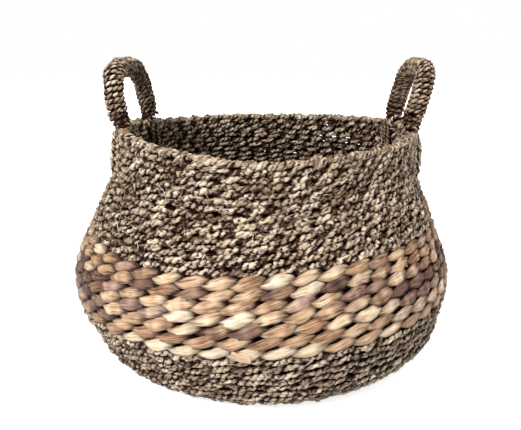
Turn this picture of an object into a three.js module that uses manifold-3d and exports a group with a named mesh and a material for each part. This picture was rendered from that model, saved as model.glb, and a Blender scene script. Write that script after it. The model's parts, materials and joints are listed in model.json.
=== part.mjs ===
// Water hyacinth basket: a round belly basket twined from seagrass cord, with a band of flat
// water hyacinth strands round the belly and two wrapped rope handles at the rim.
// Millimetres, +Z up. The origin is the centre of the flat underside, +X points to the right
// handle and the front of the basket faces -Y.

import * as THREE from "three";
import { mergeVertices } from "three/addons/utils/BufferGeometryUtils.js";
import Module from "manifold-3d";

const wasm = await Module();
wasm.setup();

// Outline of the wall, measured over the outside of the strands.
const baseRadius = 141.3;
const footHeight = 12;
const footRadius = 152.4;
const bellyHeight = 60;
const bellyRadius = 165.2;
const shoulderRadius = 148.3;
const neckDepth = 32.5;
const neckRadius = 129.6;
const rimRadius = 126.4;
const saddleRise = 3.8;
const neckShift = 3;

// Bands of the wall, from the floor to the rim, and the twined courses in each.
const lowerBandHeight = 52.5;
const lowerCourses = 9;
const hyacinthBandHeight = 53.9;
const hyacinthCourses = 7;
const upperBandHeight = 70.1;
const upperCourses = 14;
const rimHeight = 6;

// Strands and stakes of the wall and the base.
const outerWeft = 3.4;
const innerWeft = 3.4;
const seagrassGroove = 1.3;
const hyacinthGroove = 1.8;
const stakeDiameter = 3;
const stakesPerSet = 12;
const stakePitch = 4;
const crossLength = 30;
const crossStep = 8;
const underWeft = 2.6;
const floorGap = 0.4;

// Handles: a rope core bent into a loop, with a cord wound round it.
const leftHandleRise = 38;
const rightHandleRise = 41.5;
const handleFullness = 3.3;
const handleDiameter = 17;
const wrapCordThickness = 4.2;
const wrapTurns = 24;
const wrapTurnGap = 0.5;
const wrapStart = 4.6;
const frontLegColumn = -2;
const leftRearLegColumn = 3;
const rightRearLegColumn = 2;
const leftLean = 11.5;
const rightLean = 14;

// Rope ends that hold each handle leg: over the rim, down both faces and through the wall.
const lashingWidth = 12;
const crownThickness = 2.2;
const innerTailLength = 28;
const innerTailThickness = 5;
const earLength = 34;
const earThickness = 6;
const stubDiameter = 5;
const stubDepth = 22;

// Gap between neighbouring pieces, and how finely the round forms are drawn.
const clearance = 0.3;
const wallSegments = 32;
const stakeSides = 4;
const coreSides = 8;
const coreSteps = 22;
const loopSteps = 9;
const wrapSides = 5;
const stubSides = 8;

// Heights and sizes worked out from the values above.
const hyacinthTop = lowerBandHeight + hyacinthBandHeight;
const upperTop = hyacinthTop + upperBandHeight;
const wallTop = upperTop + rimHeight;
const neckHeight = wallTop - neckDepth;
const stakeRadius = stakeDiameter / 2;
const stakeTop = upperTop - clearance;
const columnAngle = (2 * Math.PI) / (4 * stakesPerSet);
const facetSag = bellyRadius * (1 - Math.cos(Math.PI / wallSegments));
const stakeLevel = underWeft + clearance + stakeRadius;
const stakeDepth = outerWeft + facetSag + clearance + stakeRadius;
const wrapPathRadius = (handleDiameter - wrapCordThickness) / 2;
const wrapInside = wrapPathRadius * Math.cos(Math.PI / loopSteps) - wrapCordThickness / 2;
const coreRadius = wrapInside - clearance;

const colours = {
  seagrass: { color: 0x8d7a5f, roughness: 0.85, metalness: 0 },
  hyacinth: { color: 0xb38d5f, roughness: 0.7, metalness: 0 },
  stake: { color: 0x6f5e47, roughness: 0.9, metalness: 0 },
  rope: { color: 0x85715a, roughness: 0.85, metalness: 0 },
};

const group = new THREE.Group();

// The outline is a smooth curve through six heights: floor, foot, belly, shoulder, neck, rim.
const outlineKnots = [
  { z: 0, r: baseRadius },
  { z: footHeight, r: footRadius },
  { z: bellyHeight, r: bellyRadius },
  { z: hyacinthTop, r: shoulderRadius },
  { z: neckHeight, r: neckRadius },
  { z: wallTop, r: rimRadius },
];

function chordSlope(index) {
  const low = outlineKnots[index];
  const high = outlineKnots[index + 1];
  return (high.r - low.r) / (high.z - low.z);
}

// Slope at a knot: level where the outline turns back, and between its neighbours elsewhere.
function knotSlope(index) {
  const last = outlineKnots.length - 1;
  if (index === 0) return chordSlope(0);
  if (index === last) return chordSlope(last - 1);
  const before = chordSlope(index - 1);
  const after = chordSlope(index);
  return before * after <= 0 ? 0 : (2 * before * after) / (before + after);
}

function outline(z) {
  const last = outlineKnots.length - 2;
  let index = 0;
  while (index < last && z > outlineKnots[index + 1].z) index += 1;
  const low = outlineKnots[index];
  const high = outlineKnots[index + 1];
  const span = high.z - low.z;
  const t = (z - low.z) / span;
  const a = knotSlope(index) * span;
  const b = knotSlope(index + 1) * span;
  const cubic = 2 * (low.r - high.r) + a + b;
  const square = 3 * (high.r - low.r) - 2 * a - b;
  const radius = ((cubic * t + square) * t + a) * t + low.r;
  const slope = ((3 * cubic * t + 2 * square) * t + a) / span;
  return { radius, slope };
}

// Radius of a layer that lies the given depth below the outside of the wall.
function layerRadius(z, depth) {
  const { radius, slope } = outline(z);
  return radius - depth * Math.sqrt(1 + slope * slope);
}

// The middle line of a stake, from the centre of the base to the rim, as radius and height.
function stakeLine() {
  const heights = [
    footHeight,
    (footHeight + bellyHeight) / 2,
    bellyHeight,
    (bellyHeight + hyacinthTop) / 2,
    hyacinthTop,
    neckHeight,
    stakeTop,
  ];
  const line = [new THREE.Vector2(0, stakeLevel)];
  line.push(new THREE.Vector2(layerRadius(stakeLevel, stakeDepth), stakeLevel));
  for (const z of heights) line.push(new THREE.Vector2(layerRadius(z, stakeDepth), z));
  return line;
}

// The same line moved sideways: a positive distance goes outwards and down.
function offsetLine(line, distance) {
  return line.map((point, index) => {
    const before = line[Math.max(index - 1, 0)];
    const after = line[Math.min(index + 1, line.length - 1)];
    const one = point.clone().sub(before).normalize();
    const two = after.clone().sub(point).normalize();
    if (index === 0) one.copy(two);
    if (index === line.length - 1) two.copy(one);
    const normal = new THREE.Vector2(one.y + two.y, -one.x - two.x).normalize();
    const spread = normal.dot(new THREE.Vector2(one.y, -one.x));
    return point.clone().addScaledVector(normal, distance / spread);
  });
}

function radiusAt(line, z) {
  let index = 1;
  while (index < line.length - 2 && z > line[index + 1].y) index += 1;
  const low = line[index];
  const high = line[index + 1];
  return low.x + ((z - low.y) * (high.x - low.x)) / (high.y - low.y);
}

// The stretch of a line between two heights, with an end point on each height.
function stretch(line, low, high) {
  const inside = line.filter((point, index) => index > 0 && point.y > low && point.y < high);
  const first = new THREE.Vector2(radiusAt(line, low), low);
  const last = new THREE.Vector2(radiusAt(line, high), high);
  return [first, ...inside, last];
}

const stakeMiddle = stakeLine();
const outerGap = offsetLine(stakeMiddle, stakeRadius + clearance + facetSag);
const innerGap = offsetLine(stakeMiddle, -stakeRadius - clearance);
const innerFace = offsetLine(stakeMiddle, -stakeRadius - clearance - innerWeft);

// Turns a closed mesh the right way out, with shared corners and no empty triangles.
function tidySolid(geometry) {
  const bare = geometry.clone();
  for (const name of ["normal", "uv"]) bare.deleteAttribute(name);
  const merged = mergeVertices(bare, 1e-4);
  const position = merged.getAttribute("position");
  const corners = [0, 1, 2].map(() => new THREE.Vector3());
  const faces = [];
  let volume = 0;
  for (let start = 0; start < merged.index.count; start += 3) {
    const face = [0, 1, 2].map((step) => merged.index.getX(start + step));
    if (new Set(face).size < 3) continue;
    face.forEach((vertex, step) => corners[step].fromBufferAttribute(position, vertex));
    volume += corners[0].dot(corners[1].clone().cross(corners[2]));
    faces.push(face);
  }
  if (volume < 0) faces.forEach((face) => face.reverse());
  merged.setIndex(faces.flat());
  return merged;
}

function toManifold(geometry) {
  const solid = tidySolid(geometry);
  return new wasm.Manifold(new wasm.Mesh({
    numProp: 3,
    vertProperties: new Float32Array(solid.getAttribute("position").array),
    triVerts: new Uint32Array(solid.index.array),
  }));
}

function fromManifold(manifold) {
  const mesh = manifold.getMesh();
  const geometry = new THREE.BufferGeometry();
  geometry.setAttribute("position", new THREE.BufferAttribute(mesh.vertProperties, 3));
  geometry.setIndex(new THREE.BufferAttribute(mesh.triVerts, 1));
  return geometry;
}

// The rim and its courses ride up a little towards the handles and dip at front and back.
function saddle(x, y, z) {
  const reach = x * x + y * y;
  if (reach < 1 || z <= 0) return 0;
  return ((saddleRise * (x * x - y * y)) / reach) * Math.pow(z / wallTop, 1.5);
}

// Made by hand, the neck stands a little to the right of the belly.
function sway(z) {
  return (neckShift * Math.max(0, z - bellyHeight)) / (wallTop - bellyHeight);
}

function raised(geometry) {
  const position = geometry.getAttribute("position");
  for (let i = 0; i < position.count; i += 1) {
    const z = position.getZ(i);
    const lift = saddle(position.getX(i), position.getY(i), z);
    position.setX(i, position.getX(i) + sway(z));
    position.setZ(i, z + lift);
  }
  return geometry;
}

function addMesh(parent, name, geometry, colour) {
  geometry.computeVertexNormals();
  const mesh = new THREE.Mesh(geometry, new THREE.MeshStandardMaterial(colour));
  mesh.name = name;
  parent.add(mesh);
  return mesh;
}

// A ring of the given section, as radius and height, turned about the upright axis.
function turned(section) {
  return new THREE.LatheGeometry(section, wallSegments).rotateX(Math.PI / 2);
}

// Rounded courses: one crest in the middle of each course and a groove between two courses.
function courseLine(low, high, courses, groove, radius, side) {
  const points = [];
  for (let step = 0; step <= 2 * courses; step += 1) {
    const z = low + ((high - low) * step) / (2 * courses);
    const depth = step % 2 === 0 ? groove : 0;
    points.push(new THREE.Vector2(radius(z) - side * depth, z));
  }
  return points;
}

function closedRing(outside, inside) {
  const section = [...outside, ...inside.slice().reverse()];
  section.push(section[0].clone());
  return turned(section);
}

const outsideRadius = (z) => outline(z).radius;
const insideRadius = (z) => radiusAt(innerFace, z);

// Hole through the wall, or the rope that fills it, at the angle of one handle leg.
function wallStub(angle, radius, from, to, z) {
  const stub = new THREE.CylinderGeometry(radius, radius, to - from, stubSides);
  stub.rotateZ(Math.PI / 2).translate((from + to) / 2, 0, z);
  return stub.rotateZ(angle);
}

// Each handle leg stands midway between two stakes, counted in columns from the side.
function legAngle(side, column) {
  const towardsRear = column * columnAngle;
  return side > 0 ? towardsRear : Math.PI - towardsRear;
}

const handles = [
  { name: "left", side: -1, rear: leftRearLegColumn, lean: leftLean, rise: leftHandleRise },
  { name: "right", side: 1, rear: rightRearLegColumn, lean: rightLean, rise: rightHandleRise },
];
const legs = handles.flatMap(({ name, side, rear }) => [
  { name: `${name}_front`, angle: legAngle(side, frontLegColumn) },
  { name: `${name}_rear`, angle: legAngle(side, rear) },
]);

// The hole is cut a clearance wider than the rope, measured to its flats.
const stubHeight = wallTop - stubDepth;
const holeRadius = (stubDiameter / 2 + clearance) / Math.cos(Math.PI / stubSides);

function withStubHoles(geometry) {
  let solid = toManifold(geometry);
  for (const { angle } of legs) {
    const hole = wallStub(angle, holeRadius, neckRadius / 2, 2 * neckRadius, stubHeight);
    solid = solid.subtract(toManifold(hole));
  }
  return fromManifold(solid);
}

// Lowest band of seagrass, from the floor to the hyacinth.
function addLowerBand() {
  const top = lowerBandHeight - clearance / 2;
  const outside = courseLine(floorGap, top, lowerCourses, seagrassGroove, outsideRadius, 1);
  const corner = outerGap[1];
  const under = new THREE.Vector2(corner.x, floorGap);
  const outer = closedRing(outside, [under, ...stretch(outerGap, corner.y, top)]);
  addMesh(group, "lower_weft_outer", raised(tidySolid(outer)), colours.seagrass);
  const inside = [new THREE.Vector2(innerFace[1].x, innerGap[1].y)];
  inside.push(...stretch(innerFace, innerFace[1].y, top));
  const inner = closedRing(stretch(innerGap, innerGap[1].y, top), inside);
  addMesh(group, "lower_weft_inner", raised(tidySolid(inner)), colours.seagrass);
}

// Band of flat water hyacinth strands round the belly.
function addHyacinthBand() {
  const low = lowerBandHeight + clearance / 2;
  const top = hyacinthTop - clearance / 2;
  const outside = courseLine(low, top, hyacinthCourses, hyacinthGroove, outsideRadius, 1);
  const outer = closedRing(outside, stretch(outerGap, low, top));
  addMesh(group, "hyacinth_weft_outer", raised(tidySolid(outer)), colours.hyacinth);
  const inner = closedRing(stretch(innerGap, low, top), stretch(innerFace, low, top));
  addMesh(group, "hyacinth_weft_inner", raised(tidySolid(inner)), colours.hyacinth);
}

// Upper band of seagrass up to the rim, with courses that show inside the mouth as well.
function addUpperBand() {
  const low = hyacinthTop + clearance / 2;
  const top = stakeTop;
  const outside = courseLine(low, top, upperCourses, seagrassGroove, outsideRadius, 1);
  const outer = closedRing(outside, stretch(outerGap, low, top));
  addMesh(group, "upper_weft_outer", raised(withStubHoles(outer)), colours.seagrass);
  const inside = courseLine(low, top, upperCourses, seagrassGroove, insideRadius, -1);
  const inner = closedRing(stretch(innerGap, low, top), inside);
  addMesh(group, "upper_weft_inner", raised(withStubHoles(inner)), colours.seagrass);
}

// The last course closes the wall over the ends of the stakes.
function addRimBorder() {
  const outer = outsideRadius(wallTop);
  const inner = insideRadius(wallTop);
  const middle = (upperTop + wallTop) / 2;
  const chamfer = rimHeight / 4;
  const section = [
    new THREE.Vector2(outer - chamfer, upperTop),
    new THREE.Vector2(outer, middle),
    new THREE.Vector2(outer - chamfer, wallTop),
    new THREE.Vector2(inner + chamfer, wallTop),
    new THREE.Vector2(inner, middle),
    new THREE.Vector2(inner + chamfer, upperTop),
  ];
  section.push(section[0].clone());
  addMesh(group, "rim_border", raised(tidySolid(turned(section))), colours.seagrass);
}

// A path through given points, with one ring of the section at each point.
class KnotPath extends THREE.Curve {
  constructor(points) {
    super();
    this.points = points;
  }

  getUtoTmapping(u) {
    return u;
  }

  getPoint(t) {
    const steps = this.points.length - 1;
    const index = Math.min(Math.floor(t * steps + 1e-6), steps - 1);
    return this.points[index].clone().lerp(this.points[index + 1], t * steps - index);
  }

  getTangent(t) {
    const steps = this.points.length - 1;
    const index = Math.round(t * steps);
    const here = this.points[index];
    const before = this.points[Math.max(index - 1, 0)];
    const after = this.points[Math.min(index + 1, steps)];
    const one = here.clone().sub(before).normalize();
    const two = after.clone().sub(here).normalize();
    return one.add(two).normalize();
  }
}

function polygon(radius, sides) {
  const corners = [];
  for (let i = 0; i < sides; i += 1) {
    const angle = (2 * Math.PI * i) / sides;
    corners.push(new THREE.Vector2(radius * Math.cos(angle), radius * Math.sin(angle)));
  }
  return new THREE.Shape(corners);
}

function tube(path, steps, radius, sides) {
  const settings = { steps, bevelEnabled: false, extrudePath: path };
  return new THREE.ExtrudeGeometry(polygon(radius, sides), settings);
}

// One stake is a single rod: up one side, across the base and up the opposite side. The first
// set lies low through the crossing and the second set steps over it.
function stakePath(index, over) {
  const place = index - (stakesPerSet - 1) / 2;
  const angle = place * columnAngle;
  const across = place * stakePitch;
  const half = [];
  const step = over ? stakeDiameter + clearance : 0;
  half.push(new THREE.Vector3(crossLength, across, stakeLevel + step));
  if (over) half.push(new THREE.Vector3(crossLength + crossStep, across, stakeLevel));
  for (const point of stakeMiddle.slice(1)) {
    half.push(new THREE.Vector3(point.x * Math.cos(angle), point.x * Math.sin(angle), point.y));
  }
  const mirrored = half.map((point) => new THREE.Vector3(-point.x, point.y, point.z));
  return [...mirrored.reverse(), ...half];
}

function addStakes() {
  for (let index = 0; index < 2 * stakesPerSet; index += 1) {
    const over = index >= stakesPerSet;
    const points = stakePath(index % stakesPerSet, over);
    const rod = tube(new KnotPath(points), points.length - 1, stakeRadius, stakeSides);
    if (over) rod.rotateZ(Math.PI / 2);
    const name = `stake_${String(index + 1).padStart(2, "0")}`;
    addMesh(group, name, raised(tidySolid(rod)), colours.stake);
  }
}

// The base is woven in two layers, under and over the stakes. The upper one rises over the
// crossing in the middle.
function addBase() {
  const underRadius = outerGap[1].x - clearance;
  const under = turned([
    new THREE.Vector2(0, 0),
    new THREE.Vector2(underRadius, 0),
    new THREE.Vector2(underRadius, underWeft),
    new THREE.Vector2(0, underWeft),
  ]);
  addMesh(group, "base_under_weft", tidySolid(under), colours.seagrass);
  const low = innerGap[1].y;
  const raise = stakeDiameter + clearance;
  const edge = innerFace[1].x - clearance;
  const reach = Math.hypot(crossLength + crossStep, stakePitch * (stakesPerSet / 2));
  const inside = turned([
    new THREE.Vector2(0, low + raise),
    new THREE.Vector2(reach, low + raise),
    new THREE.Vector2(reach + crossStep, low),
    new THREE.Vector2(edge, low),
    new THREE.Vector2(edge, low + innerWeft),
    new THREE.Vector2(reach + crossStep, low + innerWeft),
    new THREE.Vector2(reach, low + innerWeft + raise),
    new THREE.Vector2(0, low + innerWeft + raise),
  ]);
  addMesh(group, "base_inner_weft", tidySolid(inside), colours.seagrass);
}

// The rope ends of one handle leg straddle the rim and pass through the wall below it.
function lashing(angle) {
  const half = lashingWidth / 2;
  const flat = Math.cos(Math.PI / wallSegments);
  const outer = (z) => outsideRadius(z) + clearance;
  const inner = (z) => Math.sqrt((insideRadius(z) * flat) ** 2 - half * half) - clearance;
  const rimBottom = wallTop - neckDepth / 2;
  const earBottom = wallTop - earLength;
  const tailBottom = wallTop - innerTailLength;
  const under = wallTop + clearance;
  const top = under + crownThickness;
  const points = [
    [outer(wallTop), under],
    [outer(rimBottom), rimBottom],
    [outer(earBottom), earBottom],
    [outer(earBottom) + earThickness / 3, earBottom],
    [outer(rimBottom) + earThickness, rimBottom],
    [outer(wallTop) + earThickness / 4, wallTop],
    [outer(wallTop), top],
    [inner(wallTop), top],
    [inner(wallTop) - innerTailThickness, wallTop],
    [inner(tailBottom) - innerTailThickness, tailBottom],
    [inner(tailBottom), tailBottom],
    [inner(wallTop), under],
  ];
  const shape = new THREE.Shape(points.map(([x, y]) => new THREE.Vector2(x, y)));
  const settings = { depth: lashingWidth, bevelEnabled: false };
  const fork = new THREE.ExtrudeGeometry(shape, settings).translate(0, 0, -half);
  fork.rotateX(Math.PI / 2).rotateZ(angle);
  const from = inner(stubHeight) - innerTailThickness / 2;
  const to = outer(stubHeight) + earThickness / 3;
  const stub = wallStub(angle, stubDiameter / 2, from, to, stubHeight);
  return fromManifold(toManifold(fork).add(toManifold(stub)));
}

function addLashings() {
  for (const { name, angle } of legs) {
    addMesh(group, `${name}_lashing`, raised(lashing(angle)), colours.rope);
  }
}

// The handle's loop, a full arch between its two legs, in the plane of the handle.
class LoopCurve extends THREE.Curve {
  constructor(halfWidth, rise) {
    super();
    this.halfWidth = halfWidth;
    this.rise = rise;
    this.arcLengthDivisions = 800;
  }

  getPoint(t) {
    const along = Math.cos(Math.PI * t);
    const up = Math.sin(Math.PI * t);
    const power = 2 / handleFullness;
    const x = -Math.sign(along) * Math.pow(Math.abs(along), power) * this.halfWidth;
    return new THREE.Vector3(x, 0, Math.pow(Math.max(up, 0), power) * this.rise);
  }
}

function handleCore(loop) {
  let core = toManifold(tube(loop, coreSteps, coreRadius, coreSides));
  for (const end of [loop.getPoint(0), loop.getPoint(1)]) {
    const knuckle = new THREE.SphereGeometry(coreRadius, coreSides, coreSides / 2);
    knuckle.rotateX(Math.PI / 2).translate(end.x, end.y, end.z);
    core = core.add(toManifold(knuckle));
  }
  return fromManifold(core);
}

// Middle line of the wrapping cord, a helix round the loop, with the core's middle beside it.
function wrapLine(loop) {
  const first = wrapStart / loop.getLength();
  const steps = wrapTurns * loopSteps;
  const line = [];
  for (let step = 0; step <= steps; step += 1) {
    const u = first + ((1 - 2 * first) * step) / steps;
    const turn = (2 * Math.PI * step) / loopSteps;
    const centre = loop.getPointAt(u);
    const tangent = loop.getTangentAt(u);
    const out = new THREE.Vector3(tangent.z, 0, -tangent.x).multiplyScalar(Math.cos(turn));
    out.y = Math.sin(turn);
    line.push({ point: centre.clone().addScaledVector(out, wrapPathRadius), centre });
  }
  return line;
}

// The turns crowd on the inside of the bend and spread on the outside, so the cord takes the
// room that its neighbours leave.
function cordWidth(line, index) {
  const here = line[index].point;
  const beside = [line[index - loopSteps], line[index + loopSteps]].filter(Boolean);
  return Math.min(...beside.map(({ point }) => here.distanceTo(point))) - wrapTurnGap;
}

// Each ring of the cord lies across its path, flat on the core.
function cordRing(line, index) {
  const { point, centre } = line[index];
  const before = line[Math.max(index - 1, 0)].point;
  const after = line[Math.min(index + 1, line.length - 1)].point;
  const tangent = after.clone().sub(before).normalize();
  const out = point.clone().sub(centre);
  out.addScaledVector(tangent, -out.dot(tangent)).normalize();
  const along = tangent.clone().cross(out);
  const width = cordWidth(line, index);
  const ring = [];
  for (let side = 0; side < wrapSides; side += 1) {
    const angle = (2 * Math.PI * side) / wrapSides;
    const corner = point.clone();
    corner.addScaledVector(out, -0.5 * wrapCordThickness * Math.cos(angle));
    corner.addScaledVector(along, 0.5 * width * Math.sin(angle));
    ring.push(corner);
  }
  return ring;
}

// Both ends of the cord run straight for one thickness.
function handleWrap(loop) {
  const line = wrapLine(loop);
  const last = line.length - 1;
  const rings = line.map((place, index) => cordRing(line, index));
  const runIn = line[0].point.clone().sub(line[1].point).setLength(wrapCordThickness);
  const runOut = line[last].point.clone().sub(line[last - 1].point).setLength(wrapCordThickness);
  rings.unshift(rings[0].map((corner) => corner.clone().add(runIn)));
  rings.push(rings[rings.length - 1].map((corner) => corner.clone().add(runOut)));
  return ringTube(rings);
}

// Joins rings of corners into one closed tube.
function ringTube(rings) {
  const geometry = new THREE.BufferGeometry().setFromPoints(rings.flat());
  const faces = [];
  for (let ring = 0; ring < rings.length - 1; ring += 1) {
    for (let side = 0; side < wrapSides; side += 1) {
      const a = ring * wrapSides + side;
      const b = ring * wrapSides + ((side + 1) % wrapSides);
      faces.push(a, b, a + wrapSides);
      faces.push(b, b + wrapSides, a + wrapSides);
    }
  }
  const end = (rings.length - 1) * wrapSides;
  for (let side = 1; side < wrapSides - 1; side += 1) {
    faces.push(0, side + 1, side);
    faces.push(end, end + side, end + side + 1);
  }
  geometry.setIndex(faces);
  return geometry;
}

// Least gap between two turns: the distance of their middle lines less half of each width.
function leastTurnGap(loop) {
  const line = wrapLine(loop);
  const widths = line.map((place, index) => cordWidth(line, index));
  let least = Infinity;
  for (let i = 0; i < line.length; i += 1) {
    for (let j = i + Math.ceil(loopSteps / 2); j < line.length; j += 1) {
      const apart = line[i].point.distanceTo(line[j].point);
      least = Math.min(least, apart - (widths[i] + widths[j]) / 2);
    }
  }
  return least;
}

const rimMiddle = (outsideRadius(wallTop) + insideRadius(wallTop)) / 2;

function rimPoint(angle) {
  return new THREE.Vector2(Math.cos(angle), Math.sin(angle)).multiplyScalar(rimMiddle);
}

// The handle turns about a level line through the round lower ends of both legs.
function addHandle({ name, side, rear, lean, rise }) {
  const front = rimPoint(legAngle(side, frontLegColumn));
  const back = rimPoint(legAngle(side, rear));
  const middle = front.clone().add(back).multiplyScalar(0.5);
  const highest = Math.max(saddle(front.x, front.y, wallTop), saddle(back.x, back.y, wallTop));
  const crown = wallTop + highest + clearance + crownThickness;
  const axisHeight = crown + clearance + coreRadius;
  const chord = front.clone().sub(back).multiplyScalar(side);
  const handle = new THREE.Group();
  handle.position.set(middle.x + sway(axisHeight), middle.y, axisHeight);
  handle.rotation.set(THREE.MathUtils.degToRad(-lean), 0, chord.angle(), "ZYX");
  const loop = new LoopCurve(chord.length() / 2, rise);
  addMesh(handle, `${name}_handle_core`, handleCore(loop), colours.rope);
  addMesh(handle, `${name}_handle_wrap`, tidySolid(handleWrap(loop)), colours.rope);
  group.add(handle);
  console.log(`${name} handle axis at`, handle.position.toArray().map((v) => v.toFixed(3)));
  console.log(`${name} handle least gap between turns`, leastTurnGap(loop).toFixed(2), "mm");
}

addBase();
addStakes();
addLowerBand();
addHyacinthBand();
addUpperBand();
addRimBorder();
addLashings();
handles.forEach(addHandle);

export default group;
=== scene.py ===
# %% [markdown]
# # A twined basket
# The real basket is a cage of stiff cords, called stakes, with pairs of weaker strands twisted
# round them. Two kinds of strand are used: thin two-ply seagrass cord and flat water hyacinth
# stalks. This lesson lays every one of those strands as a curve with a thickness and lets the
# weave itself make the surface, because no bump map has the deep gaps of a real twined wall.

import json
from math import cos, hypot, pi, radians, sin
from types import SimpleNamespace

import bmesh
import bpy
import numpy as np
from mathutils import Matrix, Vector
from numpy.random import default_rng


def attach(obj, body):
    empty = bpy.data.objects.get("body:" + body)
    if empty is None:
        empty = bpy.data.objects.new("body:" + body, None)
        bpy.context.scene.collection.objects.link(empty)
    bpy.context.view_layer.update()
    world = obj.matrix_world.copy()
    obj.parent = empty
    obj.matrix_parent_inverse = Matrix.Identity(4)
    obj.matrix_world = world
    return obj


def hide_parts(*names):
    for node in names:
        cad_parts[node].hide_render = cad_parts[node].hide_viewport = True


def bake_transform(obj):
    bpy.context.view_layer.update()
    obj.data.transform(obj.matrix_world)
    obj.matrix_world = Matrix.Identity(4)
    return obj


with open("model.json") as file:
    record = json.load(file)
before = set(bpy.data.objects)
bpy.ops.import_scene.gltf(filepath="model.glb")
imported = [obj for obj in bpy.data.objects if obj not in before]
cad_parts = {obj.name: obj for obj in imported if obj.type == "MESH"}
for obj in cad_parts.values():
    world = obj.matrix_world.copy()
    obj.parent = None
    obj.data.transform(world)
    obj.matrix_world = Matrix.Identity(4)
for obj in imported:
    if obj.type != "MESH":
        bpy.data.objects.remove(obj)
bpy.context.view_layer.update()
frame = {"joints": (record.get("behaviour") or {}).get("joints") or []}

# %% [markdown]
# The outline of the wall is the one size that every strand follows. It is the radius over the
# outside of the strands at six heights, joined by a smooth curve. The slopes at the knots are
# harmonic means, which keeps the curve from bulging past its knots.

# %% Outline of the wall
FULL_TURN = 2 * pi
UP = np.array([0, 0, 1.0])
OUTLINE_HEIGHTS = np.array([0.0, 0.012, 0.060, 0.1064, 0.150, 0.1825])
OUTLINE_RADII = np.array([0.1402, 0.1514, 0.1652, 0.1483, 0.1296, 0.1264])
BELLY_HEIGHT, WALL_TOP = OUTLINE_HEIGHTS[2], OUTLINE_HEIGHTS[-1]
WALL_THICKNESS = 0.0112
SADDLE_RISE, SADDLE_POWER = 0.0038, 1.5
RIM_DIPS = ((radians(143), radians(28), 0.0055), (radians(268), radians(14), 0.0025))
DIP_POWER = 4
NECK_SHIFT = 0.003
FOOT_SHIFT, FOOT_SHIFT_HEIGHT, FOOT_SHIFT_REACH = 0.0045, 0.021, 0.010


def knot_slopes():
    chords = np.diff(OUTLINE_RADII) / np.diff(OUTLINE_HEIGHTS)
    before, after = chords[:-1], chords[1:]
    turns_back = before * after <= 0
    total = np.where(turns_back, 1, before + after)
    inner = np.where(turns_back, 0, 2 * before * after / total)
    return np.concatenate([chords[:1], inner, chords[-1:]])


def outline(z):
    """Radius of the outside of the wall, and its slope, at height z."""
    z = np.clip(z, 0, WALL_TOP)
    index = np.clip(np.searchsorted(OUTLINE_HEIGHTS, z, side="right") - 1, 0, len(OUTLINE_HEIGHTS) - 2)
    low, high = OUTLINE_RADII[index], OUTLINE_RADII[index + 1]
    span = OUTLINE_HEIGHTS[index + 1] - OUTLINE_HEIGHTS[index]
    t = (z - OUTLINE_HEIGHTS[index]) / span
    a, b = knot_slopes()[index] * span, knot_slopes()[index + 1] * span
    cubic, square = 2 * (low - high) + a + b, 3 * (high - low) - 2 * a - b
    radius = ((cubic * t + square) * t + a) * t + low
    return radius, ((3 * cubic * t + 2 * square) * t + a) / span


def by_hand(points):
    """The rim rises towards the handles and dips elsewhere. Neck and foot stand a little to the right."""
    x, y, z = points.T
    reach = np.maximum(x * x + y * y, 1e-6)
    height = np.clip(z, 0, None) / WALL_TOP
    lift = SADDLE_RISE * (x * x - y * y) / reach * height ** SADDLE_POWER
    for middle, width, depth in RIM_DIPS:
        away = (np.arctan2(y, x) - middle + pi) % FULL_TURN - pi
        lift = lift - depth * np.exp(-((away / width) ** 2)) * height ** DIP_POWER
    sway = NECK_SHIFT * np.clip(z - BELLY_HEIGHT, 0, None) / (WALL_TOP - BELLY_HEIGHT)
    sway = sway + FOOT_SHIFT * np.exp(-(((z - FOOT_SHIFT_HEIGHT) / FOOT_SHIFT_REACH) ** 2))
    return points + np.stack([sway, 0 * z, lift], 1)


print("radius at the belly", outline(BELLY_HEIGHT)[0].round(4))

# %% [markdown]
# The courses of a band lie one over another along the wall and not along the height, because
# the wall slopes in at the foot and at the shoulder. A table of the length along the outline
# shares a band out evenly.

# %% Heights of the courses
LOWER_BAND, HYACINTH_BAND, UPPER_BAND = (0.0, 0.0525), (0.0525, 0.1064), (0.1064, 0.1765)
LOWER_COURSES, HYACINTH_COURSES, UPPER_COURSES = 9, 7, 14
TABLE_STEPS = 400


def course_heights(low, high, courses):
    z = np.linspace(low, high, TABLE_STEPS)
    step = np.hypot(np.diff(outline(z)[0]), np.diff(z))
    along = np.concatenate([[0], np.cumsum(step)])
    middles = (np.arange(courses) + 0.5) / courses * along[-1]
    return np.interp(middles, along, z)


print("upper courses at", course_heights(*UPPER_BAND, UPPER_COURSES).round(4))

# %% [markdown]
# A strand is a curve with another curve as its section, which Blender sweeps along the way.
# The curve is made a mesh at once, because its rings can then be pressed flat or swollen one
# by one and can carry numbers for the material: the place on the section, the way along, a
# tone, a hue, and how deep in the weave each point lies.

# %% Strands from curves
LAY_SHIFT = 50


def placed(name, data):
    """A new object of the scene that shows the given data."""
    thing = bpy.data.objects.new(name, data)
    bpy.context.scene.collection.objects.link(thing)
    return thing


def add_spline(data, points, closed):
    spline = data.splines.new("POLY")
    spline.points.add(len(points) - 1)
    spline.points.foreach_set("co", np.insert(points, 3, 1, axis=1).ravel())
    spline.use_cyclic_u = closed
    return spline.points


def even_turn(count):
    """Angles of a full turn in even steps."""
    return FULL_TURN * np.arange(count) / count


def circle(size, corners=6):
    angle = even_turn(corners)
    return size / 2 * np.stack([np.cos(angle), np.sin(angle)], 1)


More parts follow.
